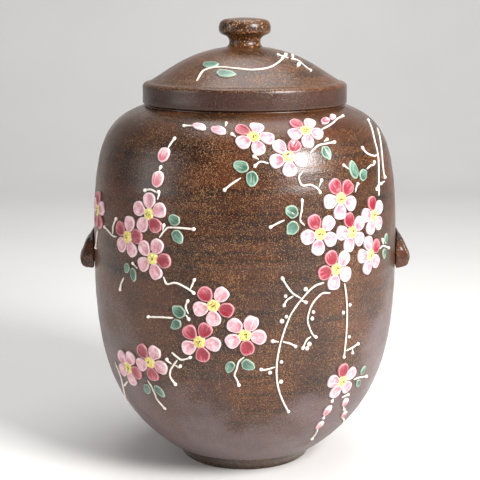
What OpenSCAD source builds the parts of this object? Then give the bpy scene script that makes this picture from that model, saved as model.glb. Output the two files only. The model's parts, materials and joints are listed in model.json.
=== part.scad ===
// Lidded stoneware storage jar (onggi) with raised slip blossom sprays.
// Millimetres, +Z up. The origin is the middle of the foot, on the ground.
// The decorated side faces -Y and the two lugs stand on the X axis.

/* [Jar] */
// Height of the rim that the lid sits on
jar_h = 356; // [300:1:430]
// Widest diameter of the body
belly_d = 301; // [250:1:362]
// Height of the widest ring
belly_z = 206; // [170:1:250]
// Thickness of the thrown wall
wall_t = 9; // [6:0.5:12]
// Thickness of the floor slab
floor_t = 12; // [8:0.5:16]
// Inside diameter of the mouth
mouth_d = 172; // [140:1:186]
// Width of the flat rim round the mouth
rim_land = 12; // [9:0.5:16]
// Height of the rim above the end of the shoulder
rim_rise = 1.5; // [1:0.5:4]
// Rounding of the rim's edges
rim_round = 1.2; // [0.5:0.1:2]

/* [Foot] */
// Height of the foot ring
foot_h = 16.5; // [12:0.5:24]
// Outside diameter of the foot ring on the ground
foot_d = 130; // [110:1:150]
// Outside diameter of the foot ring where it meets the body
foot_top_d = 153; // [140:1:158]
// Diameter of the body's flat underside
base_d = 162; // [159:1:180]
// Width of the foot ring on the ground
foot_land = 12; // [8:0.5:18]

/* [Lid] */
// Outside diameter of the lid's upright band
lid_d = 200; // [196:1:216]
// Height of the lid's upright band
band_h = 16; // [12:0.5:24]
// Rounding from the band up to the ridge
band_round = 6; // [3:0.5:9]
// Height from the ridge to the knob's seat
dome_h = 33; // [24:0.5:45]
// Thickness of the lid
lid_t = 7; // [5:0.5:9]
// Height of the lid's base ring, where it rests on the rim
lid_base_h = 8; // [6:0.5:10]
// Air between the rim and the lid at rest
seat_gap = 0.3; // [0.2:0.05:0.6]

/* [Locating flange under the lid] */
// Depth of the flange below the lid's base ring
flange_h = 15; // [10:0.5:22]
// Thickness of the flange
flange_t = 6; // [4:0.5:9]
// Air between the flange and the mouth, all round
mouth_gap = 1.5; // [0.8:0.1:4]

/* [Knob] */
// Diameter of the knob's disc
knob_d = 51; // [40:1:62]
// Height of the knob above the lid
knob_h = 28; // [24:0.5:34]
// Diameter of the knob's neck
neck_d = 30; // [24:1:34]
// Height of the neck, up to the underside of the disc
neck_h = 11; // [9:0.5:14]
// Diameter of the knob's root, where it is luted to the dome
root_d = 36; // [34:1:44]

/* [Lugs] */
// Height of the lug's lower edge
lug_z = 195; // [180:1:240]
// Height of the lug
lug_h = 37; // [28:1:46]
// How far the lug stands out of the wall
lug_out = 14; // [10:0.5:20]
// Width of the lug round the wall
lug_w = 54; // [44:1:66]
// Radius of the finger presses in the lug's lower edge
press_r = 6; // [4:0.5:8]

/* [Raised slip] */
// Length of a petal
petal_l = 14; // [10:0.5:14]
// Width of a petal
petal_w = 11.5; // [9:0.5:12]
// Distance from a blossom's middle to the middle of a petal
petal_reach = 12; // [11:0.5:14]
// Thickness of a petal's rim
petal_t = 1.2; // [0.8:0.1:2]
// Radius of a blossom's yellow middle
middle_r = 3.8; // [3:0.1:4.2]
// Thickness of a leaf
leaf_t = 0.9; // [0.6:0.1:1.6]
// Width of a trailed line
line_w = 2.2; // [1.6:0.1:2.4]
// Height of a trailed line
line_t = 1.1; // [0.8:0.1:1.8]
// Radius of a trailed dot
dot_r = 1.8; // [1.4:0.1:2]
// Longest step along a trailed line
line_step = 7; // [4:0.5:12]
// Bond line between the clay and what is laid on it
bond = 0.15; // [0.1:0.05:0.3]

/* [Hidden] */
$fn = 120;

glaze = "#4a2c1a";
bare_clay = "#5f4a42";
pale_slip = "#efc9cf";
rose_slip = "#c4475a";
yellow_slip = "#e3d07a";
green_slip = "#5e9274";
white_slip = "#f1e8df";

belly_r = belly_d / 2;
rim_r = mouth_d / 2 + rim_land;
shoulder_top = jar_h - rim_rise;
floor_z = foot_h + floor_t;
lid_z = jar_h + seat_gap;
band_top = lid_z + band_h;
ridge_r = lid_d / 2 - band_round;
ridge_z = band_top + band_round * 0.8;
seat_z = ridge_z + dome_h;
flange_r = mouth_d / 2 - mouth_gap;

// A cubic curve through its first and last points, drawn towards the two between
function curve_point(p, t) =
    pow(1 - t, 3) * p[0] + 3 * pow(1 - t, 2) * t * p[1] + 3 * (1 - t) * t * t * p[2] + pow(t, 3) * p[3];
function curve_slope(p, t) =
    3 * pow(1 - t, 2) * (p[1] - p[0]) + 6 * (1 - t) * t * (p[2] - p[1]) + 3 * t * t * (p[3] - p[2]);
function curve(p, n) = [for (i = [0:n]) curve_point(p, i / n)];
// The same curve moved to its left by d, at an even thickness
function beside(p, d, n) =
    [for (i = [0:n]) let (s = curve_slope(p, i / n)) curve_point(p, i / n) + d * [-s.y, s.x] / norm(s)];
function backwards(a) = [for (i = [len(a) - 1:-1:0]) a[i]];
function without_first(a) = [for (i = [1:len(a) - 1]) a[i]];
// Points of a round edge about c, from angle a to angle b
function round_edge(c, r, a, b, n = 5) = [for (i = [0:n]) c + r * [cos(a + (b - a) * i / n), sin(a + (b - a) * i / n)]];

// The wall in section, as [radius, height]: up from the foot to the belly, then on to the rim.
lower_wall = let (w = belly_r - base_d / 2, h = belly_z - foot_h) [
    [base_d / 2, foot_h],
    [base_d / 2 + 0.85 * w, foot_h + 0.235 * h],
    [belly_r, foot_h + 0.53 * h],
    [belly_r, belly_z],
];
upper_wall = let (w = belly_r - rim_r, h = shoulder_top - belly_z) [
    [belly_r, belly_z],
    [belly_r, belly_z + 0.775 * h],
    [rim_r + 0.77 * w, belly_z + 0.91 * h],
    [rim_r, shoulder_top],
];
wall_path = concat(curve(lower_wall, 16), without_first(curve(upper_wall, 20)));
wall_inside = concat(beside(lower_wall, wall_t, 16), without_first(beside(upper_wall, wall_t, 20)));

// The dome in section, from the ridge up to the knob's seat
dome_curve = let (w = ridge_r - root_d / 2) [
    [ridge_r, ridge_z],
    [root_d / 2 + 0.75 * w, ridge_z + 0.3 * dome_h],
    [root_d / 2 + 0.53 * w, ridge_z + 0.84 * dome_h],
    [root_d / 2, seat_z],
];
dome_path = curve(dome_curve, 20);

// A surface that slip is laid on: its radius and its height by the distance along it,
// and that distance by the height
function distance_to(path, i) = i == 0 ? 0 : distance_to(path, i - 1) + norm(path[i] - path[i - 1]);
function surface_of(path) = let (run = [for (i = [0:len(path) - 1]) distance_to(path, i)]) [
    [for (i = [0:len(path) - 1]) [run[i], path[i].x]],
    [for (i = [0:len(path) - 1]) [run[i], path[i].y]],
    [for (i = [0:len(path) - 1]) [path[i].y, run[i]]],
];
wall = surface_of(wall_path);
dome = surface_of(dome_path);

// The point at p = [across, up] from a spray's own place, standing clear of the surface by lift.
// A place is [degrees round from the front, height].
function laid(surface, place, p, lift) = let (
    s = lookup(place.y, surface[2]) + p.y,
    r = lookup(s, surface[0]),
    run = [lookup(s + 1, surface[0]) - lookup(s - 1, surface[0]), lookup(s + 1, surface[1]) - lookup(s - 1, surface[1])],
    out = [run.y, -run.x] / norm(run),
    a = place.x + p.x / r * 180 / PI,
    rr = r + lift * out.x
) [rr * sin(a), -rr * cos(a), lookup(s, surface[1]) + lift * out.y];

function ahead(a) = [sin(a), cos(a)];
function aside(a) = [cos(a), -sin(a)];

// A dab of slip: a low pad on an outline round its middle, with its own height there
module dab(surface, place, middle, outline, rim_t, middle_t, inset = 0.78) {
    n = len(outline);
    ground = [for (p = outline) laid(surface, place, p, bond)];
    rim = [for (p = outline) laid(surface, place, middle + (p - middle) * inset, bond + rim_t)];
    points = concat(ground, rim, [laid(surface, place, middle, bond), laid(surface, place, middle, bond + middle_t)]);
    faces = [for (i = [0:n - 1]) let (j = (i + 1) % n)
        each [[i, n + i, n + j], [i, n + j, j], [n + j, n + i, 2 * n + 1], [i, j, 2 * n]]];
    polyhedron(points = points, faces = faces);
}

// An oval outline, longer along its heading a; swell makes its far end wider
function oval(middle, a, length, width, swell, n) = [for (k = [0:n - 1]) let (t = -360 * k / n)
    middle + length / 2 * cos(t) * ahead(a) + width / 2 * sin(t) * (1 + swell * cos(t)) * aside(a)];

// A blossom is [across, up, turn, size, numbers of its rose petals]
module petals(surface, place, blossoms, rose) {
    for (b = blossoms, k = [0:4])
        if ((len(search(k, b[4])) > 0) == rose) {
            a = b[2] + 72 * k;
            middle = [b[0], b[1]] + b[3] * petal_reach * ahead(a);
            outline = oval(middle, a, b[3] * petal_l, b[3] * petal_w, 0.16, 10);
            dab(surface, place, middle, outline, petal_t, 0.65 * petal_t);
        }
}

module middles(surface, place, blossoms) {
    for (b = blossoms) {
        middle = [b[0], b[1]];
        r = b[3] * middle_r;
        dab(surface, place, middle, oval(middle, 0, 2 * r, 2 * r, 0, 8), petal_t, 1.7 * petal_t, 0.6);
    }
}

// A leaf is [across, up, heading, length, width]
module leaves(surface, place, list) {
    for (l = list) {
        middle = [l[0], l[1]];
        dab(surface, place, middle, oval(middle, l[2], l[3], l[4], -0.2, 10), 0.7 * leaf_t, leaf_t, 0.8);
    }
}

// A bud is [across, up, heading, length, width]
module buds(surface, place, list) {
    for (b = list) {
        middle = [b[0], b[1]];
        dab(surface, place, middle, oval(middle, b[2], b[3], b[4], 0.05, 10), petal_t, 1.4 * petal_t, 0.7);
    }
}

module dots(surface, place, list) {
    for (middle = list)
        dab(surface, place, middle, oval(middle, 0, 2 * dot_r, 2 * dot_r, 0, 6), line_t, 1.4 * line_t, 0.6);
}

// A smooth run through points chosen by hand, in steps no longer than line_step
function between(a, b, c, d, t) =
    0.5 * (2 * b + (c - a) * t + (2 * a - 5 * b + 4 * c - d) * t * t + (3 * b - 3 * c + d - a) * t * t * t);
function smooth_run(p) = let (last = len(p) - 1) concat([for (i = [0:last - 1])
    let (a = p[max(i - 1, 0)], b = p[i], c = p[i + 1], d = p[min(i + 2, last)], n = ceil(norm(c - b) / line_step))
    each [for (k = [0:n - 1]) between(a, b, c, d, k / n)]], [p[last]]);

// A line trailed from a nozzle: thin where it starts, and ending in the blob that is left as it lifts
module trailed_line(surface, place, given) {
    path = smooth_run(given);
    last = len(path) - 1;
    heading = (path[last] - path[last - 1]) / norm(path[last] - path[last - 1]);
    run = concat([for (i = [0:last - 1]) path[i]],
        [path[last] - 1.6 * line_w / 2 * heading, path[last], path[last] + 0.55 * line_w * heading]);
    end = len(run) - 1;
    width = [for (i = [0:end]) i == 0 ? 0.7 * line_w : i < end - 1 ? line_w : i == end - 1 ? 1.7 * line_w : 0.9 * line_w];
    tall = [for (i = [0:end]) i == end - 1 ? 1.3 * line_t : line_t];
    section = [[-0.5, 0], [-0.4, 0.65], [0, 1], [0.4, 0.65], [0.5, 0]];
    m = len(section);
    points = [for (i = [0:end]) let (
        step = run[min(i + 1, end)] - run[max(i - 1, 0)],
        side = [step.y, -step.x] / norm(step)
    ) each [for (q = section) laid(surface, place, run[i] + q.x * width[i] * side, bond + q.y * tall[i])]];
    sides = [for (i = [0:end - 1], k = [0:m - 1]) let (a = i * m + k, b = i * m + (k + 1) % m)
        each [[a, a + m, b + m], [a, b + m, b]]];
    first_cap = [for (k = [1:m - 2]) [0, k, k + 1]];
    last_cap = [for (k = [1:m - 2]) [end * m, end * m + k + 1, end * m + k]];
    polyhedron(points = points, faces = concat(sides, first_cap, last_cap));
}

module trailed_lines(surface, place, list) {
    for (line = list)
        trailed_line(surface, place, line);
}

// The sprays. Each is drawn flat in millimetres, as [across, up] from its place, and wrapped on.

left_place = [-38, 245];
left_blossoms = [[7, 22, -2, 1, [2]], [-19, -2, 10, 1, [1, 4]], [12, -18, 22, 1, [1]], [-81, 13, 0, 0.95, [0, 2, 3]]];
left_leaf_list = [[34, 19, 300, 11, 9], [38, 4, 140, 13, 9], [-21, -32, 200, 9, 7], [-12, -37, 170, 12, 7]];
left_bud_list = [[16, 76, 10, 14, 12], [14, 54, 5, 15, 12]];
left_lines = [
    [[19, 84.5], [20, 88], [22, 94]],
    [[15, 63], [16, 66.5]],
    [[16, 37], [17, 41], [15, 44]],
    [[14, 42], [7, 44], [-1, 42]],
    [[20, 3], [25, 9], [31, 12], [55, 12]],
    [[23, 10], [24, 15]],
    [[-39, -5], [-44, -5], [-53, -2], [-63, 1]],
    [[-44, -2], [-43, 5], [-37, 13]],
    [[-8, -29], [-14, -25]],
    [[-27, -43], [-31, -49], [-33, -56]],
    [[24, -35], [27, -40], [35, -38], [43, -40], [51, -44], [55, -47]],
    [[51, -41], [55, -32]],
    [[-84, -8], [-88, -15], [-93, -27]],
];

centre_place = [-10, 172];
centre_blossoms = [[-2, 17, 36, 1, [1, 4]], [-15, -18, 24, 1, [0, 2, 4]], [26, -10, 27, 1, [2]]];
centre_leaf_list = [[-35, 9, 300, 13, 10], [-38, -4, 230, 11, 8], [12, -41, 200, 11, 8], [29, -39, 115, 12, 9]];
centre_lines = [
    [[-42, 2], [-55, 1], [-70, -1]],
    [[-27, 5], [-24, 1]],
    [[-26, 9], [-28, 14], [-25, 21]],
    [[24, -32], [20, -36], [18, -43], [16, -49], [18, -54], [20, -61]],
];

low_place = [-38, 120];
low_blossoms = [[3, 7, 32, 1, [2, 4]], [-30, -6, 28, 1, [1]]];
low_leaf_list = [[-8, -24, 200, 11, 8], [8, -23, 140, 13, 8]];
low_lines = [
    [[-4, -15], [-1, -20], [1, -28], [2, -34], [9, -44]],
    [[30, 20], [34, 17], [39, 15], [49, 19]],
    [[33, 13], [29, 8], [25, 2], [24, -5], [29, -13]],
    [[26, 10], [23, 12], [23, 15]],
    [[32, 8], [35, 7], [37, 10]],
    [[-57, -9], [-52, -21], [-54, -34], [-60, -47], [-68, -60]],
    [[-40, -25], [-49, -32]],
];

shoulder_place = [16, 322];
shoulder_blossoms = [[-28, 18, 26, 0.94, [4]], [0, -2, 36, 0.94, [0]], [21, 23, 38, 0.94, [4]]];
shoulder_leaf_list = [[-43, -10, 290, 13, 10], [-34, -21, 190, 13, 10], [38, -1, 150, 12, 9]];
shoulder_bud_list = [[-58, 25, 95, 14, 10], [-75, 29, 95, 13, 9], [47, 34, 60, 12, 8], [59, 39, 60, 10, 7]];
shoulder_lines = [
    [[-45, 19], [-48, 22]],
    [[-50, 32], [-48, 37]],
    [[-83, 30], [-92, 29]],
    [[-20, -7], [-26, -6], [-32, -11]],
    [[-28, -3], [-32, 0]],
    [[-45, -21], [-53, -26], [-60, -32]],
    [[22, 1], [26, 4], [31, 7], [38, 8], [51, 9]],
    [[39, 11], [43, 13]],
    [[40, 24], [48, 27], [56, 31], [65, 36], [77, 39]],
    [[11, -17], [8, -21], [11, -28], [19, -28], [26, -32], [29, -37]],
    [[28, -29], [31, -23]],
];

right_place = [38, 245];
right_blossoms = [
    [-6, 36, 45, 1, [0, 4]], [-30, 6, 46, 1, [4]], [6, 4, 56, 0.96, [4]],
    [38, 15, 62, 0.96, [4]], [32, -21, 57, 0.96, [0]], [-13, -28, 46, 1, [3, 4]],
];
right_leaf_list = [
    [13, 60, 350, 16, 10], [26, 54, 55, 11, 9], [-57, 28, 300, 12, 10], [-57, 13, 220, 12, 10],
    [64, -11, 20, 9, 7], [60, -25, 175, 9, 7],
];
right_lines = [
    [[6, 62], [0, 66]],
    [[13, 41], [15, 45], [18, 48]],
    [[34, 59], [40, 61], [46, 61], [48, 65]],
    [[-46, 16], [-49, 20], [-47, 30], [-46, 39]],
    [[-65, 20], [-70, 18], [-78, 14]],
    [[52, -18], [58, -17], [73, -22]],
    [[57, -14], [55, -9]],
    [[50, 33], [52, 47], [58, 69], [61, 86], [76, 105]],
    [[49, 41], [45, 37]],
    [[64, 43], [54, 42]],
    [[86, 92], [75, 80], [68, 67], [65, 54], [67, 45]],
    [[55, 69], [49, 69], [37, 73], [31, 80]],
];

trailing_place = [20, 160];
trailing_lines = [
    [[20, 46], [12, 44], [3, 37], [-10, 21], [-18, 0], [-22, -22], [-21, -43], [-15, -62], [-5, -81]],
    [[-3, 35], [-9, 39], [-14, 45], [-20, 55]],
    [[-10, 36], [-15, 33], [-18, 27]],
    [[1, 31], [5, 29]],
    [[27, 36], [19, 36], [10, 28], [6, 18], [6, 10], [11, -1], [16, -5]],
    [[8, -4], [5, -6], [1, -15]],
    [[-23, -5], [-29, -4]],
    [[-16, -6], [-10, -8], [-4, -12]],
    [[-25, -30], [-33, -32], [-38, -31]],
    [[45, 41], [48, 23], [49, -1], [48, -31]],
    [[52, -23], [58, -22], [68, -19]],
    [[59, -25], [59, -29]],
];
trailing_dot_list = [
    [3, 42], [-15, 18], [-19, 14], [-18, -25], [-17, -45], [-16, 37], [11, 20], [10, 14], [8, -10], [6, -14],
    [-28, -35], [52, 21], [44, 15], [53, -10],
];

hanging_place = [40, 106];
hanging_blossoms = [[0, 0, 64, 0.96, [4]]];
hanging_leaf_list = [[30, 4, 30, 9, 6], [27, -10, 150, 9, 6]];
hanging_bud_list = [[-8, -32, 20, 12, 8], [-9, -51, 25, 10, 7], [14, -28, 10, 10, 8], [23, -47, 15, 9, 7]];
hanging_lines = [
    [[19, -3], [26, -3], [42, -6]],
    [[-6, -20], [-7, -23]],
    [[-9, -40], [-9, -43]],
    [[-8, -58], [-6, -66], [-6, -76]],
    [[8, -20], [17, -19]],
    [[16, -36], [19, -40]],
    [[26, -54], [33, -60], [39, -69]],
];

lid_place = [0, 392];
lid_leaf_list = [[-33, 8, 80, 16, 9], [-17, -6, 95, 17, 10]];
lid_bud_list = [[46, 26, 60, 7, 5], [57, 22, 60, 7, 5], [58, 6, 60, 7, 5]];
lid_lines = [
    [[-46, -17], [-40, -2], [-25, 4], [-7, 2], [7, 0], [22, 3], [32, 11], [40, 21]],
    [[46, 20], [33, 29]],
    [[52, 17], [60, 14], [68, 2], [75, -6]],
];

// A closed section of the wall: outside, rim, inside, floor
module jar_body() {
    hollow = [for (p = wall_inside) if (p.y > floor_z + wall_t) p];
    corner = hollow[0];
    under_rim = wall_inside[len(wall_inside) - 1];
    mouth_r = mouth_d / 2;
    color(glaze)
        rotate_extrude()
            polygon(concat(
                [[0, foot_h]],
                wall_path,
                round_edge([rim_r - rim_round, jar_h - rim_round], rim_round, 0, 90),
                round_edge([mouth_r + rim_round, jar_h - rim_round], rim_round, 90, 180),
                [[mouth_r, under_rim.y + rim_round]],
                round_edge([mouth_r + rim_round, under_rim.y + rim_round], rim_round, 190, 270),
                backwards(hollow),
                curve([corner, corner - [2, 5], [corner.x - 8, floor_z], [corner.x - 16, floor_z]], 5),
                [[0, floor_z]]
            ));
}

// The foot is thrown as a ring that spreads up to the body, with a hollow under the floor
module foot_ring() {
    out = foot_d / 2;
    top = foot_top_d / 2;
    edge = 1.5;
    color(bare_clay)
        rotate_extrude()
            polygon(concat(
                round_edge([out - edge, edge], edge, -90, 0),
                curve([[out, edge], [out + 1, 0.35 * foot_h], [top - 3, 0.6 * foot_h], [top, foot_h]], 6),
                [[out - foot_land - 4, foot_h]],
                [[out - foot_land, edge]],
                [[out - foot_land + edge, 0]]
            ));
}

// An ear of clay pressed on the wall: it slopes out and down, with finger presses in its lower edge
module lug(side) {
    steps = 8;
    tip_z = lug_z + 0.25 * lug_h;
    top_z = lug_z + lug_h;
    function wall_r(z) = lookup(lookup(z, wall[2]), wall[0]);
    back = [for (i = [0:steps]) let (z = lug_z + lug_h * i / steps) [wall_r(z) + bond, z]];
    tip_r = wall_r(tip_z) + lug_out;
    slope = curve([[tip_r, tip_z], [tip_r - 1, tip_z + 8], [back[steps].x + 4, top_z - 5], back[steps]], 8);
    nose = curve([back[0], [back[0].x + 6, lug_z], [tip_r - 0.5, lug_z + 1], [tip_r, tip_z]], 5);
    color(glaze)
        rotate([0, 0, side > 0 ? 0 : 180])
            difference() {
                intersection() {
                    rotate([0, 0, -20])
                        rotate_extrude(angle = 40)
                            polygon(concat(nose, without_first(slope), without_first(backwards(back))));
                    translate([0, 0, lug_z + 0.3 * lug_h])
                        rotate([0, 90, 0])
                            cylinder(r = lug_w / 2, h = belly_d);
                }
                for (y = [-lug_w / 6, lug_w / 6])
                    translate([tip_r + press_r - 2.5, y, lug_z + 3])
                        sphere(press_r);
                translate([wall_r(lug_z) + lug_out / 2, 0, lug_z - 2 * press_r + 4])
                    sphere(2 * press_r);
            }
}

module lug_left() lug(-1);
module lug_right() lug(1);

// The dome, its ridge and its upright band in one shell, with the base ring that rests on the rim
module lid_shell() {
    inside = beside(dome_curve, lid_t, 16);
    base_in = flange_r - flange_t;
    band_in = lid_d / 2 - lid_t;
    edge = 1.2;
    color(glaze)
        rotate_extrude()
            polygon(concat(
                [[base_in, lid_z]],
                round_edge([lid_d / 2 - edge, lid_z + edge], edge, -90, 0),
                curve([
                    [lid_d / 2, band_top],
                    [lid_d / 2, band_top + 0.6 * band_round],
                    [ridge_r + 0.35 * band_round, ridge_z],
                    [ridge_r, ridge_z],
                ], 6),
                without_first(dome_path),
                [[0, seat_z]],
                [[0, seat_z - lid_t]],
                backwards([for (p = inside) if (p.x < band_in - 4 && p.x > 1) p]),
                curve([
                    [band_in - 3, ridge_z - lid_t - 2],
                    [band_in, ridge_z - lid_t - 4],
                    [band_in, lid_z + lid_base_h],
                    [band_in - 4, lid_z + lid_base_h],
                ], 5),
                [[base_in + edge, lid_z + lid_base_h]],
                [[base_in, lid_z + lid_base_h - edge]]
            ));
}

// A coil luted under the lid's base ring, which keeps the lid central in the mouth
module lid_flange() {
    edge = 1.5;
    color(bare_clay)
        rotate_extrude()
            polygon(concat(
                [[flange_r - flange_t, lid_z]],
                round_edge([flange_r - flange_t + edge, lid_z - flange_h + edge], edge, 180, 270),
                round_edge([flange_r - edge, lid_z - flange_h + edge], edge, 270, 360),
                [[flange_r, lid_z]]
            ));
}

// A turned knob: a waisted neck under a thick disc with a full round edge
module lid_knob() {
    disc_r = knob_d / 2;
    neck_r = neck_d / 2;
    top_z = seat_z + knob_h;
    under_z = seat_z + neck_h;
    color(glaze)
        rotate_extrude()
            polygon(concat(
                [[0, seat_z]],
                curve([[root_d / 2, seat_z], [neck_r, seat_z + 2], [neck_r - 1, under_z - 4], [neck_r + 3, under_z - 1]], 6),
                curve([
                    [neck_r + 3.5, under_z - 0.5],
                    [disc_r - 3, under_z + 1],
                    [disc_r, under_z + 2],
                    [disc_r, under_z + 6],
                ], 5),
                curve([
                    [disc_r + 0.1, under_z + 7],
                    [disc_r, under_z + 13],
                    [disc_r - 3, top_z - 1.5],
                    [disc_r - 9, top_z - 1],
                ], 7),
                curve([[disc_r - 12, top_z - 0.7], [8, top_z], [4, top_z], [0, top_z]], 3)
            ));
}

module left_pale_petals() color(pale_slip) petals(wall, left_place, left_blossoms, false);
module left_rose_petals() color(rose_slip) petals(wall, left_place, left_blossoms, true);
module left_middles() color(yellow_slip) middles(wall, left_place, left_blossoms);
module left_leaves() color(green_slip) leaves(wall, left_place, left_leaf_list);
module left_twigs() color(white_slip) trailed_lines(wall, left_place, left_lines);
module left_buds() color(pale_slip) buds(wall, left_place, left_bud_list);

module centre_pale_petals() color(pale_slip) petals(wall, centre_place, centre_blossoms, false);
module centre_rose_petals() color(rose_slip) petals(wall, centre_place, centre_blossoms, true);
module centre_middles() color(yellow_slip) middles(wall, centre_place, centre_blossoms);
module centre_leaves() color(green_slip) leaves(wall, centre_place, centre_leaf_list);
module centre_twigs() color(white_slip) trailed_lines(wall, centre_place, centre_lines);

module low_pale_petals() color(pale_slip) petals(wall, low_place, low_blossoms, false);
module low_rose_petals() color(rose_slip) petals(wall, low_place, low_blossoms, true);
module low_middles() color(yellow_slip) middles(wall, low_place, low_blossoms);
module low_leaves() color(green_slip) leaves(wall, low_place, low_leaf_list);
module low_twigs() color(white_slip) trailed_lines(wall, low_place, low_lines);

module shoulder_pale_petals() color(pale_slip) petals(wall, shoulder_place, shoulder_blossoms, false);
module shoulder_rose_petals() color(rose_slip) petals(wall, shoulder_place, shoulder_blossoms, true);
module shoulder_middles() color(yellow_slip) middles(wall, shoulder_place, shoulder_blossoms);
module shoulder_leaves() color(green_slip) leaves(wall, shoulder_place, shoulder_leaf_list);
module shoulder_twigs() color(white_slip) trailed_lines(wall, shoulder_place, shoulder_lines);
module shoulder_buds() color(pale_slip) buds(wall, shoulder_place, shoulder_bud_list);

module right_pale_petals() color(pale_slip) petals(wall, right_place, right_blossoms, false);
module right_rose_petals() color(rose_slip) petals(wall, right_place, right_blossoms, true);
module right_middles() color(yellow_slip) middles(wall, right_place, right_blossoms);
module right_leaves() color(green_slip) leaves(wall, right_place, right_leaf_list);
module right_twigs() color(white_slip) trailed_lines(wall, right_place, right_lines);

module trailing_twigs() color(white_slip) trailed_lines(wall, trailing_place, trailing_lines);
module trailing_dots() color(white_slip) dots(wall, trailing_place, trailing_dot_list);

module hanging_pale_petals() color(pale_slip) petals(wall, hanging_place, hanging_blossoms, false);
module hanging_rose_petals() color(rose_slip) petals(wall, hanging_place, hanging_blossoms, true);
module hanging_middles() color(yellow_slip) middles(wall, hanging_place, hanging_blossoms);
module hanging_leaves() color(green_slip) leaves(wall, hanging_place, hanging_leaf_list);
module hanging_twigs() color(white_slip) trailed_lines(wall, hanging_place, hanging_lines);
module hanging_buds() color(rose_slip) buds(wall, hanging_place, hanging_bud_list);

module lid_leaves() color(green_slip) leaves(dome, lid_place, lid_leaf_list);
module lid_twigs() color(white_slip) trailed_lines(dome, lid_place, lid_lines);
module lid_buds() color(white_slip) buds(dome, lid_place, lid_bud_list);

jar_body();
foot_ring();
lug_left();
lug_right();
lid_shell();
lid_flange();
lid_knob();
left_pale_petals();
left_rose_petals();
left_middles();
left_leaves();
left_twigs();
left_buds();
centre_pale_petals();
centre_rose_petals();
centre_middles();
centre_leaves();
centre_twigs();
low_pale_petals();
low_rose_petals();
low_middles();
low_leaves();
low_twigs();
shoulder_pale_petals();
shoulder_rose_petals();
shoulder_middles();
shoulder_leaves();
shoulder_twigs();
shoulder_buds();
right_pale_petals();
right_rose_petals();
right_middles();
right_leaves();
right_twigs();
trailing_twigs();
trailing_dots();
hanging_pale_petals();
hanging_rose_petals();
hanging_middles();
hanging_leaves();
hanging_twigs();
hanging_buds();
lid_leaves();
lid_twigs();
lid_buds();
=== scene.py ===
import json
import math
import random

import bmesh
import bpy
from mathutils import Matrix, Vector, noise

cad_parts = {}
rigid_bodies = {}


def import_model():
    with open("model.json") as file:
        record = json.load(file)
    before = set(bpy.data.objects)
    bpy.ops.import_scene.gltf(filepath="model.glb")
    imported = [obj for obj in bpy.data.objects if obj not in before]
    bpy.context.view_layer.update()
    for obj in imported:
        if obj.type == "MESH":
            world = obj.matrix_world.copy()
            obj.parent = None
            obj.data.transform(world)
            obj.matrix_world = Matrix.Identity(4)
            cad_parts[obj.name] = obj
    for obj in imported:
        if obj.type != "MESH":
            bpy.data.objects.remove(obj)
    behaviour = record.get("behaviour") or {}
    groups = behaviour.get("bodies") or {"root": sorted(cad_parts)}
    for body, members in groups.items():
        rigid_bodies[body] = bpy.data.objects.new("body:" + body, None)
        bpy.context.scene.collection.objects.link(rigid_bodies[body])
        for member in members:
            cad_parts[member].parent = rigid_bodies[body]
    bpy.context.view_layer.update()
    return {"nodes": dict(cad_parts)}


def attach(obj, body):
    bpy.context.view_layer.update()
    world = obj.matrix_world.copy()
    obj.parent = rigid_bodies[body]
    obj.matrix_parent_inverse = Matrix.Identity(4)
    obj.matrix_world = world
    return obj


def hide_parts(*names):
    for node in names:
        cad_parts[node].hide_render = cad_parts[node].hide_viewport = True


for leftover in list(bpy.data.objects):
    bpy.data.objects.remove(leftover)
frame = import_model()
mm = 0.001

for cadObject in frame["nodes"].values():
    cadObject.data.materials.clear()


# Helpers for node trees, colours and pieces

def toLinear(code):
    parts = [int(code[i:i + 2], 16) / 255 for i in (1, 3, 5)]
    return [c / 12.92 if c <= 0.04045 else ((c + 0.055) / 1.055) ** 2.4 for c in parts] + [1.0]


def addNode(tree, kind, settings=None, sockets=()):
    # A kind that doesn't name its family is a shader node. Sockets go by name or number, or in order in a
    # list. A node stands for its first output, and #rrggbb for a colour.
    hasFamily = kind.startswith(("Geometry", "Function", "NodeGroup"))
    made = tree.nodes.new(kind if hasFamily else "ShaderNode" + kind)
    for name, value in (settings or {}).items():
        setattr(made, name, value)
    for name, value in sockets.items() if isinstance(sockets, dict) else enumerate(sockets):
        if isinstance(value, bpy.types.Node):
            value = value.outputs[0]
        if isinstance(value, bpy.types.NodeSocket):
            tree.links.new(value, made.inputs[name])
        else:
            isColour = isinstance(value, str) and value.startswith("#")
            made.inputs[name].default_value = toLinear(value) if isColour else value
    return made


# Settings that come up again and again. A colour mix takes its factor at socket 0 and its colours at
# 6 and 7, and gives its result at output 2.
plus, minus, times, timesPlus = ({"operation": word}
                                 for word in ("ADD", "SUBTRACT", "MULTIPLY", "MULTIPLY_ADD"))
smoothly = {"interpolation_type": "SMOOTHSTEP"}
inColour = {"data_type": "RGBA"}


def atSize(vector, featureMm, detail=3.0, rough=0.55):
    # What a noise is given when its features are so many millimetres across
    return {"Vector": vector, "Scale": 1 / (featureMm * mm), "Detail": detail, "Roughness": rough}


def layOver(tree, under, over, pattern, low, high, least=0, most=1):
    # One colour over another where a pattern rises from low to high
    share = addNode(tree, "MapRange", smoothly, [pattern, low, high, least, most])
    return addNode(tree, "Mix", inColour, {0: share, 6: under, 7: over}).outputs[2]


def startMaterial(name):
    material = bpy.data.materials.new(name)
    material.use_nodes = True
    tree = material.node_tree
    tree.nodes.clear()
    return material, tree, addNode(tree, "TexCoord").outputs["Object"]


def endMaterial(tree, finish, relief=None, depthMm=0.0):
    shader = addNode(tree, "BsdfPrincipled", {}, finish)
    if relief is not None:
        bump = addNode(tree, "Bump", {}, {"Height": relief, "Distance": depthMm * mm})
        tree.links.new(bump.outputs[0], shader.inputs["Normal"])
    addNode(tree, "OutputMaterial", {}, {"Surface": shader})


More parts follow.
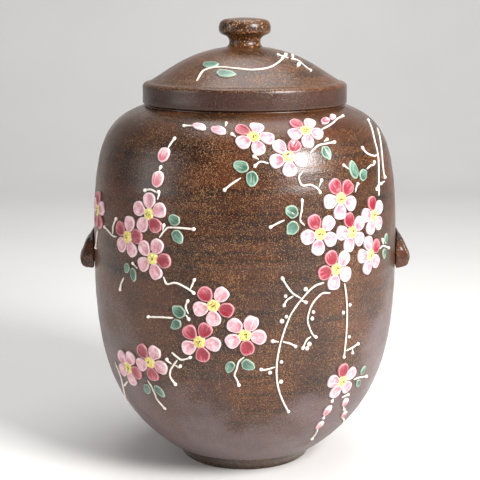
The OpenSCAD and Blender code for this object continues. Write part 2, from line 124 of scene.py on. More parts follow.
def addPiece(name, mesh, material, sharpDegrees=None):
    mesh.name = name
    piece = bpy.data.objects.new(name, mesh)
    bpy.context.scene.collection.objects.link(piece)
    mesh.materials.clear()
    mesh.materials.append(material)
    mesh.shade_smooth()
    if sharpDegrees:
        mesh.set_sharp_from_angle(angle=math.radians(sharpDegrees))
    return piece


def tellFrame(piece, body, node):
    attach(piece, body)
    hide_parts(node)


def faceOut(mesh):
    work = bmesh.new()
    work.from_mesh(mesh)
    bmesh.ops.recalc_face_normals(work, faces=work.faces)
    if work.calc_volume(signed=True) < 0:
        bmesh.ops.reverse_faces(work, faces=work.faces)
    work.to_mesh(mesh)
    work.free()


# The curves of the clay, in millimetres: the same ones as the CAD part's

def curvePoint(p, t):
    a, b, c, d = (1 - t) ** 3, 3 * (1 - t) ** 2 * t, 3 * (1 - t) * t * t, t ** 3
    return tuple(a * p[0][i] + b * p[1][i] + c * p[2][i] + d * p[3][i] for i in (0, 1))


def curveRun(p, count):
    return [curvePoint(p, i / count) for i in range(count + 1)]


def curveBetween(start, end, first, second):
    # The two middle points are shares of the way from start to end, outwards and upwards
    w, h = end[0] - start[0], end[1] - start[1]
    return [start, *((start[0] + share[0] * w, start[1] + share[1] * h) for share in (first, second)), end]


def besideRun(p, distance, count):
    made = []
    for i in range(count + 1):
        t = i / count
        before, after = curvePoint(p, max(t - 0.001, 0)), curvePoint(p, min(t + 0.001, 1))
        dx, dy = after[0] - before[0], after[1] - before[1]
        size = math.hypot(dx, dy)
        x, y = curvePoint(p, t)
        made.append((x - dy / size * distance, y + dx / size * distance))
    return made


def roundEdge(cx, cy, radius, start, end, count=6):
    angles = [math.radians(start + (end - start) * i / count) for i in range(count + 1)]
    return [(cx + radius * math.cos(a), cy + radius * math.sin(a)) for a in angles]


def straight(start, end, count):
    return [(start[0] + (end[0] - start[0]) * i / count, start[1] + (end[1] - start[1]) * i / count)
            for i in range(1, count)]


# Radii, and heights above the ground
jarSizes = {"base": 81, "foot": 16.5, "belly": 150.5, "bellyAt": 206, "rim": 98, "shoulderTop": 354.5,
            "top": 356, "mouth": 86, "wall": 9, "floor": 28.5, "floorFlat": 40, "edge": 1.2}
# Radii, and heights of one part above the one under it
lidSizes = {"radius": 100, "gap": 0.3, "bandHeight": 16, "ridgeRadius": 94, "ridgeHeight": 4.8,
            "domeHeight": 33, "root": 18, "thickness": 7, "ledgeHeight": 8, "inner": 78.5, "edge": 1.2}

lidSeat = jarSizes["top"] + lidSizes["gap"]
bandTop = lidSeat + lidSizes["bandHeight"]
ridgeTop = bandTop + lidSizes["ridgeHeight"]
knobSeat = ridgeTop + lidSizes["domeHeight"]

bellyPoint = (jarSizes["belly"], jarSizes["bellyAt"])
lowerWall = curveBetween((jarSizes["base"], jarSizes["foot"]), bellyPoint, (0.85, 0.235), (1, 0.53))
upperWall = curveBetween(bellyPoint, (jarSizes["rim"], jarSizes["shoulderTop"]), (0, 0.775), (0.23, 0.91))
domeCurve = curveBetween((lidSizes["ridgeRadius"], ridgeTop), (lidSizes["root"], knobSeat),
                         (0.25, 0.3), (0.47, 0.84))


def surfaceOf(path):
    run = [0.0]
    for i in range(1, len(path)):
        run.append(run[-1] + math.dist(path[i], path[i - 1]))
    return {"run": run, "path": path}


def lookup(value, xs, ys):
    if value <= xs[0]:
        return ys[0]
    for i in range(1, len(xs)):
        if value <= xs[i]:
            share = (value - xs[i - 1]) / (xs[i] - xs[i - 1])
            return ys[i - 1] + share * (ys[i] - ys[i - 1])
    return ys[-1]


wall = surfaceOf(curveRun(lowerWall, 40) + curveRun(upperWall, 40)[1:])
dome = surfaceOf(curveRun(domeCurve, 40))


def laid(surface, place, across, up, lift):
    # Wraps a flat point on the clay. Its place is degrees round from the front, and millimetres up.
    run, radii, heights = surface["run"], [p[0] for p in surface["path"]], [p[1] for p in surface["path"]]
    s = lookup(place[1], heights, run) + up
    r, z = lookup(s, run, radii), lookup(s, run, heights)
    dr = lookup(s + 1, run, radii) - lookup(s - 1, run, radii)
    dz = lookup(s + 1, run, heights) - lookup(s - 1, run, heights)
    size = math.hypot(dr, dz)
    angle = math.radians(place[0]) + across / r
    out = r + lift * dz / size
    return Vector((out * math.sin(angle), -out * math.cos(angle), z - lift * dr / size)) * mm


# Materials

def ironGlaze(name, look):
    # Ash glaze over iron-bearing stoneware, fired in a wood-style kiln: a dark brown coat that breaks to
    # ochre where the clay's coarse particles come through, a warm grain about a millimetre wide
    material, tree, place = startMaterial(name)
    parts = addNode(tree, "SeparateXYZ", {}, [place]).outputs
    cloud = addNode(tree, "TexNoise", {}, atSize(place, 70, 4))
    flattened = addNode(tree, "VectorMath", times, [place, (0.5, 0.5, 9)])
    rings = addNode(tree, "TexNoise", {}, atSize(flattened, 60, 3, 0.6))
    coat = layOver(tree, look["dark"], look["warm"], cloud, 0.35, 0.65)
    coat = layOver(tree, coat, look["band"], rings, 0.47, 0.66, 0, 0.75)
    # Grains: round cells of three sizes, of which only some are kept
    patches = addNode(tree, "TexNoise", {}, atSize(place, 45, 3))
    density = addNode(tree, "MapRange", smoothly, [patches, 0.3, 0.7, 0.85, 1.15])
    grain = 0.0
    for sizeMm, share, reach in look["grains"]:
        cells = addNode(tree, "TexVoronoi", {}, {"Vector": place, "Scale": 1 / (sizeMm * mm)})
        drawn = addNode(tree, "SeparateXYZ", {}, [cells.outputs["Color"]])
        kept = addNode(tree, "MapRange", smoothly, [drawn, 1 - share, 1, 0, reach])
        size = addNode(tree, "Math", times, [kept, density])
        inside = addNode(tree, "Math", minus, [size, cells])
        spot = addNode(tree, "MapRange", smoothly, [inside, 0, 0.14, 0, 1])
        grain = addNode(tree, "Math", {"operation": "MAXIMUM"}, [grain, spot])
    mottle = addNode(tree, "TexNoise", {}, atSize(place, 6, 2))
    ochre = addNode(tree, "Mix", inColour, {0: mottle, 6: look["grainDark"], 7: look["grainLight"]})
    showing = addNode(tree, "Math", times, [grain, look["grainStrength"]])
    coat = addNode(tree, "Mix", inColour, {0: showing, 6: coat, 7: ochre.outputs[2]}).outputs[2]
    sheen = addNode(tree, "TexNoise", {}, atSize(place, 30, 4))
    rough = addNode(tree, "MapRange", smoothly,
                    [sheen, 0.3, 0.7, look["rough"] - 0.06, look["rough"] + 0.1])
    if look["skinAndReflection"]:
        # A mauve-grey, rougher coat low on the jar, lowest at the front and higher to the sides: partly the
        # glaze's own colour and partly a painted reflection of the pale floor near the outlines
        skinAndReflectionPlan = look["skinAndReflection"]
        side = addNode(tree, "Math", times, [parts[0], parts[0]])
        line = addNode(tree, "Math", timesPlus, [side, skinAndReflectionPlan["rise"], skinAndReflectionPlan["lowest"]])
        drift = addNode(tree, "TexNoise", {}, atSize(place, 60, 3))
        wander = addNode(tree, "MapRange", smoothly, [drift, 0.3, 0.7, -skinAndReflectionPlan["wander"], skinAndReflectionPlan["wander"]])
        level = addNode(tree, "Math", plus, [parts[2], wander])
        above = addNode(tree, "Math", minus, [level, line])
        skinAndReflection = addNode(tree, "MapRange", smoothly, [above, -0.03, 0.035, 1, 0])
        mottle = addNode(tree, "TexNoise", {}, atSize(place, 25, 3))
        skinAndReflectionColour = addNode(tree, "Mix", inColour, {0: mottle, 6: skinAndReflectionPlan["skinAndReflectionDark"], 7: skinAndReflectionPlan["skinAndReflectionLight"]})
        faint = addNode(tree, "Math", times, [grain, skinAndReflectionPlan["grainStrength"]])
        skinAndReflectionColour = addNode(tree, "Mix", inColour, {0: faint, 6: skinAndReflectionColour.outputs[2], 7: look["grainLight"]})
        share = addNode(tree, "Math", times, [skinAndReflection, skinAndReflectionPlan["strength"]])
        coat = addNode(tree, "Mix", inColour, {0: share, 6: coat, 7: skinAndReflectionColour.outputs[2]}).outputs[2]
        rough = addNode(tree, "Math", timesPlus, [skinAndReflection, skinAndReflectionPlan["rougher"], rough])
    if look["wipedBelow"]:
        # The wiped seat of the lid: a thin lighter line where the coat stops
        seat = look["wipedBelow"]
        coat = layOver(tree, coat, "#7d5c44", parts[2], seat * mm, (seat + 1.5) * mm, 0.7, 0)
    if look["plainBelow"]:
        # The lid's band was dipped deeper, so the grains hardly show there
        top = look["plainBelow"]
        flattened = addNode(tree, "VectorMath", times, [place, (1, 1, 3)])
        streaks = addNode(tree, "TexNoise", {}, atSize(flattened, 14, 4, 0.6))
        dipped = addNode(tree, "Mix", inColour, {0: streaks, 6: "#33201b", 7: "#4a3029"})
        coat = layOver(tree, coat, dipped.outputs[2], parts[2], (top - 3) * mm, top * mm, 0.8, 0)
    peel = addNode(tree, "TexNoise", {}, atSize(place, 1.9, 2))
    relief = addNode(tree, "Math", timesPlus, [grain, 0.35, peel])
    endMaterial(tree, {"Base Color": coat, "Roughness": rough, "Specular IOR Level": 0.42,
                       "Coat Weight": look["clear"], "Coat Roughness": 0.22}, relief, 0.3)
    return material


def bareClay(name, look):
    # Fired stoneware with no glaze, wiped with a sponge: dull, with sand grains and faint turning lines
    material, tree, place = startMaterial(name)
    sand = addNode(tree, "TexNoise", {}, atSize(place, 0.9, 2))
    stains = addNode(tree, "TexNoise", {}, atSize(place, 12, 4))
    flattened = addNode(tree, "VectorMath", times, [place, (0.3, 0.3, 14)])
    lines = addNode(tree, "TexNoise", {}, atSize(flattened, 30, 3, 0.6))
    clay = layOver(tree, look["dark"], look["light"], lines, 0.35, 0.65)
    clay = layOver(tree, clay, look["sand"], sand, 0.56, 0.68, 0, 0.7)
    clay = layOver(tree, clay, look["stain"], stains, 0.55, 0.75, 0, 0.5)
    rough = addNode(tree, "MapRange", smoothly, [sand, 0.3, 0.7, 0.62, 0.8])
    relief = addNode(tree, "Math", plus, [sand, lines])
    endMaterial(tree, {"Base Color": clay, "Roughness": rough}, relief, 0.15)
    return material


def brushedSlip(name, look):
    # Coloured slip laid on with a loaded brush: thick and light at the rim of the stroke, thin and darker
    # where the bristles parted, under a clear glaze that gives small soft highlights. The hairs are counted
    # across and along a stroke's own width and length, and the third number sets each stroke off.
    material, tree, place = startMaterial(name)
    stroke, edge, tint = (addNode(tree, "Attribute", {"attribute_name": word}).outputs[kind]
                          for word, kind in (("stroke", "Vector"), ("edge", "Fac"), ("tint", "Fac")))
    along = addNode(tree, "SeparateXYZ", {}, [stroke]).outputs[1]
    hairs = addNode(tree, "VectorMath", times, [stroke, (5.5, 1.1, 31)])
    streak = addNode(tree, "TexNoise", {}, {"Vector": hairs, "Scale": 1.0, "Detail": 3})
    wash = addNode(tree, "TexNoise", {}, atSize(place, 5, 3))
    # Deep colour starts at the foot of the stroke and runs out along it
    wander = addNode(tree, "MapRange", {}, [streak, 0.3, 0.7, -0.32, 0.32])
    reach = addNode(tree, "Math", plus, [along, wander])
    run = addNode(tree, "Math", times, [tint, look["run"]])
    past = addNode(tree, "Math", minus, [reach, run])
    deepness = addNode(tree, "MapRange", smoothly, [past, -0.05, 0.5, 1, 0])
    strength = addNode(tree, "MapRange", {}, [tint, 0, 1, look["deepLeast"], 1])
    share = addNode(tree, "Math", times, [deepness, strength])
    slip = layOver(tree, look["light"], look["middle"], wash, 0.35, 0.65)
    slip = addNode(tree, "Mix", inColour, {0: share, 6: slip, 7: look["deep"]}).outputs[2]
    slip = layOver(tree, slip, look["light"], streak, 0.6, 0.75, 0, 0.35)
    slip = layOver(tree, slip, look["rim"], edge, 0.74, 0.9, 0, look["rimLight"])
    # The outermost sliver is thin enough for the brown to show through
    slip = layOver(tree, slip, "#5a3323", edge, 0.97, 1.02, 0, 0.75)
    rough = addNode(tree, "MapRange", smoothly, [streak, 0.3, 0.7, 0.3, 0.46])
    relief = addNode(tree, "Math", timesPlus, [wash, 0.5, streak])
    endMaterial(tree, {"Base Color": slip, "Roughness": rough, "Coat Weight": 0.35, "Coat Roughness": 0.18},
                relief, 0.22)
    return material


def trailedSlip(name, look):
    # White slip trailed from a bottle: a smooth rounded bead that pools a little, pitted with warm brown
    material, tree, place = startMaterial(name)
    pool = addNode(tree, "TexNoise", {}, atSize(place, 4, 3))
    pits = addNode(tree, "TexNoise", {}, atSize(place, 0.7, 2))
    slip = layOver(tree, look["light"], look["dark"], pool, 0.42, 0.7, 0, 0.55)
    slip = layOver(tree, slip, look["pit"], pits, 0.62, 0.72, 0, 0.5)
    rough = addNode(tree, "MapRange", smoothly, [pool, 0.3, 0.7, 0.3, 0.45])
    endMaterial(tree, {"Base Color": slip, "Roughness": rough, "Coat Weight": 0.3}, pool, 0.15)
    return material


# Each grain is its size in millimetres, the share of cells that are kept, and how far one fills its cell
jarLook = {"dark": "#2d1409", "warm": "#4d2611", "band": "#150906", "grainDark": "#86552a",
           "grainLight": "#cd9c60", "grainStrength": 0.56, "rough": 0.29, "clear": 0.2,
           "grains": [(0.95, 0.68, 0.52), (0.64, 0.68, 0.52), (1.8, 0.24, 0.36)],
           "skinAndReflection": None, "wipedBelow": None, "plainBelow": None}
# The mauve-grey low coat, partly the glaze's own colour and partly a painted reflection of the floor,
# starts at a lowest height and rises with the square of the way to the side, in metres
skinAndReflectionLook = {"lowest": 0.07, "rise": 5.2, "wander": 0.03, "skinAndReflectionDark": "#544343", "skinAndReflectionLight": "#6e5d5f",
             "grainStrength": 0.22, "strength": 0.92, "rougher": 0.14}
lidLook = dict(jarLook, wipedBelow=lidSeat + 1.3, plainBelow=bandTop + 2.7, dark="#32190d", warm="#4c2814",
               grainStrength=0.7, grains=[(1.1, 0.75, 0.52), (0.8, 0.65, 0.52), (1.9, 0.35, 0.38)])
knobLook = dict(jarLook, grainStrength=1.0, grains=[(1.6, 0.85, 0.55), (1.0, 0.7, 0.52), (2.4, 0.5, 0.45)])
footLook = dict(jarLook, dark="#241610", warm="#3b2820", grainStrength=0.7)
flangeLook = {"dark": "#6b5145", "light": "#86695a", "sand": "#a98058", "stain": "#2c1c15"}

# The jar's coat carries the mauve-grey low coat, partly a painted reflection of the floor
jarGlaze = ironGlaze("jarIronGlaze", dict(jarLook, skinAndReflection=skinAndReflectionLook))
lidGlaze = ironGlaze("lidIronGlaze", lidLook)
knobGlaze = ironGlaze("knobIronGlaze", knobLook)
lugGlaze = ironGlaze("lugIronGlaze", jarLook)
footGlaze = ironGlaze("footIronGlaze", footLook)
flangeClay = bareClay("flangeBareClay", flangeLook)

petalLook = {"light": "#e8c2c6", "middle": "#d08f9b", "deep": "#a93a4e", "rim": "#f3dcdc", "run": 0.34,
             "deepLeast": 0.35, "rimLight": 0.65}
roseLook = {"light": "#d27a86", "middle": "#b84857", "deep": "#8c1a2d", "rim": "#e3a6aa", "run": 0.7,
            "deepLeast": 0.6, "rimLight": 0.6}
leafLook = {"light": "#7a9985", "middle": "#54796a", "deep": "#30503f", "rim": "#b3c7b2", "run": 0.5,
            "deepLeast": 0.7, "rimLight": 0.7}
middleLook = {"light": "#f2e48c", "middle": "#e2c95a", "deep": "#4a3416", "rim": "#f7efb5", "run": 1.6,
              "deepLeast": 0.05, "rimLight": 0.5}
budLook = {"light": "#f6dfdf", "middle": "#e8a3ae", "deep": "#c8405a", "rim": "#fbeeec", "run": 0.5,
           "deepLeast": 0.6, "rimLight": 0.6}
whiteLook = {"light": "#f4ece2", "dark": "#dcc6b0", "pit": "#a98a6c"}

petalPale = brushedSlip("palePinkSlip", petalLook)
petalRose = brushedSlip("roseRedSlip", roseLook)
leafSlip = brushedSlip("greyGreenSlip", leafLook)
budSlip = brushedSlip("budPinkSlip", budLook)
whiteSlip = trailedSlip("whiteTrailedSlip", whiteLook)
middleSlip = brushedSlip("yellowSlip", middleLook)
print("materials done")


# Thrown pieces: one node tree turns a section into clay with throwing rings

def startGroup(name, sockets):
    group = bpy.data.node_groups.new(name, "GeometryNodeTree")
    group.interface.new_socket(name="Geometry", in_out="INPUT", socket_type="NodeSocketGeometry")
    for socketName, kind in sockets.items():
        group.interface.new_socket(name=socketName, in_out="INPUT", socket_type="NodeSocket" + kind)
    group.interface.new_socket(name="Geometry", in_out="OUTPUT", socket_type="NodeSocketGeometry")
    return group, addNode(group, "NodeGroupInput").outputs


def endGroup(group, geometry, material):
    smooth = addNode(group, "GeometryNodeSetShadeSmooth", {}, {"Geometry": geometry})
    real = addNode(group, "GeometryNodeRealizeInstances", {}, {"Geometry": smooth})
    painted = addNode(group, "GeometryNodeSetMaterial", {}, {"Geometry": real, "Material": material})
    addNode(group, "NodeGroupOutput", {}, [painted])


def takeMesh(carrier):
    depsgraph = bpy.context.evaluated_depsgraph_get()
    mesh = bpy.data.meshes.new_from_object(carrier.evaluated_get(depsgraph), preserve_all_data_layers=True,
                                           depsgraph=depsgraph)
    bpy.data.objects.remove(carrier)
    return mesh


def runGroup(name, source, group, inputs):
    carrier = bpy.data.objects.new(name + "Source", source)
    bpy.context.scene.collection.objects.link(carrier)
    modifier = carrier.modifiers.new("build", "NODES")
    modifier.node_group = group
    for item in group.interface.items_tree:
        if item.item_type == "SOCKET" and item.in_out == "INPUT" and item.name in inputs:
            modifier[item.identifier] = inputs[item.name]
    return takeMesh(carrier)


def makeThrowGroup():
    group, given = startGroup("throwClay", {
        "Columns": "Int", "Rows": "Int", "Ring Depth": "Float", "Ring Spacing": "Float", "Seed": "Float",
        "Material": "Material"})
    grid = addNode(group, "GeometryNodeMeshGrid", {}, {
        "Size X": 1.0, "Size Y": 1.0, "Vertices X": given["Columns"], "Vertices Y": given["Rows"]})
    share = addNode(group, "SeparateXYZ", {}, [grid.outputs["UV Map"]]).outputs
    # Each row of the grid takes its radius and height from one point of the section
    last = addNode(group, "Math", minus, [given["Rows"], 1])
    row = addNode(group, "Math", timesPlus, [share[1], last, 0.5])
    index = addNode(group, "Math", {"operation": "FLOOR"}, [row])
    where = addNode(group, "GeometryNodeInputPosition")
    section = addNode(group, "GeometryNodeSampleIndex", {"data_type": "FLOAT_VECTOR", "domain": "POINT"},
                      {"Geometry": given["Geometry"], "Value": where, "Index": index})
    point = addNode(group, "SeparateXYZ", {}, [section]).outputs
    angle = addNode(group, "Math", times, [share[0], 2 * math.pi])
    sine = addNode(group, "Math", {"operation": "SINE"}, [angle])
    cosine = addNode(group, "Math", {"operation": "COSINE"}, [angle])
    # Fingers leave rings that drift a little round the pot
    driftX = addNode(group, "Math", timesPlus, [sine, 0.5, given["Seed"]])
    driftY = addNode(group, "Math", times, [cosine, 0.5])
    driftZ = addNode(group, "Math", {"operation": "DIVIDE"}, [point[2], given["Ring Spacing"]])
    drift = addNode(group, "CombineXYZ", {}, [driftX, driftY, driftZ])
    ring = addNode(group, "TexNoise", {}, {"Vector": drift, "Scale": 1.0, "Detail": 2.0})
    below = addNode(group, "Math", minus, [ring, 1])
    sunk = addNode(group, "Math", times, [below, given["Ring Depth"]])
    # Near the axis the rings fade out, so that the middle stays closed
    fade = addNode(group, "MapRange", {}, {"Value": point[0], "From Max": 20 * mm})
    radius = addNode(group, "Math", timesPlus, [sunk, fade, point[0]])
    x = addNode(group, "Math", times, [radius, sine])
    back = addNode(group, "Math", times, [radius, cosine])
    y = addNode(group, "Math", times, [back, -1])
    turned = addNode(group, "CombineXYZ", {}, [x, y, point[2]])
    placed = addNode(group, "GeometryNodeSetPosition", {}, {"Geometry": grid, "Position": turned})
    closed = addNode(group, "GeometryNodeMergeByDistance", {}, {"Geometry": placed, "Distance": 0.01 * mm})
    endGroup(group, closed, given["Material"])
    return group


throwClay = makeThrowGroup()


def throwPiece(name, section, look):
    source = bpy.data.meshes.new(name + "Section")
    points = [(x * mm, 0, z * mm) for x, z in section]
    source.from_pydata(points, [(i, i + 1) for i in range(len(points) - 1)], [])
    mesh = runGroup(name, source, throwClay, {
        "Columns": look["columns"] + 1, "Rows": len(points), "Ring Depth": look["ringDepth"] * mm,
        "Ring Spacing": look["ringSpacing"] * mm, "Seed": look["seed"], "Material": look["material"]})
    faceOut(mesh)
    piece = addPiece(name, mesh, look["material"], sharpDegrees=38)
    tellFrame(piece, look["body"], look["node"])


jarThrow = {"columns": 224, "ringDepth": 0.9, "ringSpacing": 8, "seed": 3.0, "material": jarGlaze,
            "body": "jar", "node": "jar_body", "slot": "jar_body_glaze"}
lidThrow = {"columns": 200, "ringDepth": 0.6, "ringSpacing": 5, "seed": 11.0, "material": lidGlaze,
            "body": "lid", "node": "lid_shell", "slot": "lid_glaze"}
knobThrow = {"columns": 96, "ringDepth": 0.5, "ringSpacing": 4, "seed": 5.0, "material": knobGlaze,
             "body": "lid", "node": "lid_knob", "slot": "knob_glaze"}
# The knob's outline from neck to top, as radii and heights above its seat, with the points of each curve
knobCurves = [([(18, 0), (15, 2), (14, 7), (18, 10)], 10),
              ([(18.5, 10.5), (22.5, 12), (25.5, 13), (25.5, 17)], 10),
              ([(25.6, 18), (25.5, 24), (22.5, 26.5), (16.5, 27)], 12),
              ([(13.5, 27.3), (8, 28), (4, 28), (0, 28)], 6)]


def jarSection(sizes):
    edge, floor, foot, flat = sizes["edge"], sizes["floor"], sizes["foot"], sizes["floorFlat"]
    inside = besideRun(lowerWall, sizes["wall"], 40) + besideRun(upperWall, sizes["wall"], 40)[1:]
    hollow = [p for p in inside if p[1] > floor + sizes["wall"]]
    corner, under = hollow[0], hollow[-1][1] + edge
    floorCurve = [corner, (corner[0] - 2, corner[1] - 5), (corner[0] - 8, floor), (corner[0] - 16, floor)]
    rimEdge = (roundEdge(sizes["rim"] - edge, sizes["top"] - edge, edge, 0, 90)
               + roundEdge(sizes["mouth"] + edge, sizes["top"] - edge, edge, 90, 180)
               + [(sizes["mouth"], under)] + roundEdge(sizes["mouth"] + edge, under, edge, 190, 270, 4))
    return ([(0, foot), (flat, foot)] + curveRun(lowerWall, 110) + curveRun(upperWall, 100)[1:] + rimEdge
            + hollow[::-1] + curveRun(floorCurve, 6) + [(flat, floor), (0, floor)])


def lidSection(sizes):
    edge, radius, inner = sizes["edge"], sizes["radius"], sizes["inner"]
    ledge = lidSeat + sizes["ledgeHeight"]
    inWall = radius - sizes["thickness"]
    domeInside = [p for p in besideRun(domeCurve, sizes["thickness"], 24) if 1 < p[0] < inWall - 4]
    bandCurve = [(radius, bandTop), (radius, bandTop + 3.6), (sizes["ridgeRadius"] + 2.1, ridgeTop),
                 (sizes["ridgeRadius"], ridgeTop)]
    innerCurve = [(inWall - 3, ridgeTop - 9), (inWall, ridgeTop - 11), (inWall, ledge), (inWall - 4, ledge)]
    outside = ([(inner, lidSeat)] + roundEdge(radius - edge, lidSeat + edge, edge, -90, 0)
               + straight((radius, lidSeat + edge), (radius, bandTop), 8)
               + curveRun(bandCurve, 10) + curveRun(domeCurve, 60)[1:])
    return (outside + [(0, knobSeat), (0, knobSeat - sizes["thickness"])] + domeInside[::-1]
            + curveRun(innerCurve, 6) + [(inner + edge, ledge), (inner, ledge - edge), (inner, lidSeat)])


def knobSection(curves):
    outline = [point for points, count in curves for point in curveRun(points, count)]
    return [(0, knobSeat)] + [(x, knobSeat + z) for x, z in outline]


throwPiece("jarThrown", jarSection(jarSizes), jarThrow)
throwPiece("lidThrown", lidSection(lidSizes), lidThrow)
throwPiece("knobTurned", knobSection(knobCurves), knobThrow)
frame["nodes"]["foot_ring"].data.materials.append(footGlaze)
frame["nodes"]["lid_flange"].data.materials.append(flangeClay)
print("thrown clay done")


# Lugs: pressed on by hand, so their faces are uneven, with lumps of two sizes

lugLook = {"voxel": 0.9, "smooth": 8, "softness": 0.5, "lump": 8.0, "smallLump": 3.0, "smallShare": 0.4,
           "depth": 0.9}


def pressLug(name, node):
    mesh = frame["nodes"][node].data.copy()
    work = bmesh.new()
    work.from_mesh(mesh)
    bmesh.ops.remove_doubles(work, verts=work.verts, dist=0.01 * mm)
    work.to_mesh(mesh)
    work.free()
    carrier = bpy.data.objects.new(name + "Source", mesh)
    bpy.context.scene.collection.objects.link(carrier)
    remesh = carrier.modifiers.new("even", "REMESH")
    remesh.mode = "VOXEL"
    remesh.voxel_size = lugLook["voxel"] * mm
    smooth = carrier.modifiers.new("soften", "SMOOTH")
    smooth.iterations = lugLook["smooth"]
    smooth.factor = lugLook["softness"]
    made = takeMesh(carrier)
    for vertex in made.vertices:
        lump = noise.noise(vertex.co / (lugLook["lump"] * mm))
        lump += lugLook["smallShare"] * noise.noise(vertex.co / (lugLook["smallLump"] * mm))
        vertex.co += vertex.normal * lump * lugLook["depth"] * mm
    tellFrame(addPiece(name, made, lugGlaze), "jar", node)


pressLug("lugLeft", "lug_left")
pressLug("lugRight", "lug_right")
print("lugs done")


# Brushed slip: petals, leaves, buds and the dabs in a blossom's middle

# Sizes in millimetres. Rim and dish are a dab's heights at its edge and in its hollow, swell widens its far
# end, notch and point shape its tip, hairs and vein are grooves, and around counts its sides. Reach is how
# far it lies from the blossom's middle, and lean and stray are degrees.
petalForm = {"length": 15.2, "width": 13.7, "reach": 12.1, "rim": 1.35, "dish": 0.7, "swell": 0.16,
             "around": 28, "notch": 0.05, "wobble": 0.1, "count": 5, "lean": 4, "paleTint": (0.0, 0.45),
             "roseTint": (0.7, 1.0)}
leafForm = {"rim": 0.95, "dish": 0.75, "swell": -0.2, "around": 26, "point": 0.35, "vein": 0.35,
            "wobble": 0.16, "longer": 1.12, "wider": 1.1}
budForm = {"rim": 1.3, "dish": 1.1, "swell": 0.08, "around": 24, "wobble": 0.12, "longer": 1.02,
           "wider": 1.02}
middleForm = {"length": 11.6, "width": 11.6, "rim": 1.1, "dish": 1.5, "swell": 0.0, "around": 20,
              "wobble": 0.16, "hairs": 0.0}
stamenForm = {"length": 3.0, "width": 2.8, "rim": 1.5, "dish": 2.1, "swell": 0.0, "around": 10,
              "hairs": 0.0, "count": 6, "stray": 15, "reach": (2.8, 4.8)}
speckForm = {"length": 1.5, "width": 1.4, "rim": 2.2, "dish": 2.5, "swell": 0.0, "around": 8,
             "hairs": 0.0, "count": 4, "reach": (0.5, 2.2)}
# Shares of the way out from a dab's middle, the last one under the wall
dabRings = (0.0, 0.2, 0.38, 0.55, 0.68, 0.78, 0.86, 0.92, 0.965, 1.0, 1.02)


def newPile():
    return {"points": [], "faces": [], "stroke": [], "edge": [], "tint": []}


def ease(x):
    x = min(max(x, 0.0), 1.0)
    return x * x * (3 - 2 * x)


def dabHeight(form, f, along, across, seed):
    height = form["dish"] + (form["rim"] - form["dish"]) * ease((f - 0.3) / 0.52)
    hairs = math.sin(across * 2.1 + seed * 9 + 0.6 * math.sin(along))
    height += form.get("hairs", 0.1) * hairs * (1 - f) * ease(f * 4)
    height -= form.get("vein", 0.0) * math.exp(-(across / 0.7) ** 2) * (1 - f * f)
    if f > 1:
        return -0.7
    if f == 1:
        return -0.1
    if f > 0.9:
        # The edge is rounded over
        height *= math.sqrt(1 - ((f - 0.9) / 0.1) ** 2)
    return height + 0.05


def addDab(pile, surface, place, middle, heading, form, tint, seed):
    ahead = (math.sin(math.radians(heading)), math.cos(math.radians(heading)))
    aside = (ahead[1], -ahead[0])
    around = form["around"]
    first = len(pile["points"])
    for ring, f in enumerate(dabRings):
        for k in range(around if ring else 1):
            t = 2 * math.pi * k / around
            uneven = noise.noise(Vector((1.6 * math.cos(t), 1.6 * math.sin(t), seed * 3.7)))
            out = f * (1 + form.get("wobble", 0.05) * uneven)
            notch = 1 - form.get("notch", 0.0) * math.exp(-(math.remainder(t, 2 * math.pi) / 0.33) ** 2)
            point = 1 - form.get("point", 0.0) * (1 - abs(math.sin(t))) * (1 if math.cos(t) > 0 else 0.4)
            along = form["length"] / 2 * math.cos(t) * notch * out
            across = form["width"] / 2 * math.sin(t) * (1 + form["swell"] * math.cos(t)) * point * out
            pile["points"].append(laid(surface, place, middle[0] + along * ahead[0] + across * aside[0],
                                       middle[1] + along * ahead[1] + across * aside[1],
                                       dabHeight(form, f, along, across, seed)))
            pile["stroke"].append((across / form["width"] * 2, along / form["length"] + 0.5, seed))
            pile["edge"].append(f)
            pile["tint"].append(tint)
    for ring in range(len(dabRings) - 1):
        inner = first + 1 + (ring - 1) * around
        outer = first + 1 + ring * around
        for k in range(around):
            j = (k + 1) % around
            if ring == 0:
                pile["faces"].append((first, outer + j, outer + k))
            else:
                pile["faces"].append((inner + k, inner + j, outer + j, outer + k))
    pile["faces"].append(tuple(first + 1 + (len(dabRings) - 2) * around + k for k in range(around)))


def pileMesh(pile):
    mesh = bpy.data.meshes.new("dabs")
    mesh.from_pydata(pile["points"], [], pile["faces"])
    strokes = [c for row in pile["stroke"] for c in row]
    mesh.attributes.new("stroke", "FLOAT_VECTOR", "POINT").data.foreach_set("vector", strokes)
    for key in ("edge", "tint"):
        mesh.attributes.new(key, "FLOAT", "POINT").data.foreach_set("value", pile[key])
    faceOut(mesh)
    return mesh


def addSlip(name, mesh, material, body, node):
    tellFrame(addPiece(name, mesh, material), body, node)


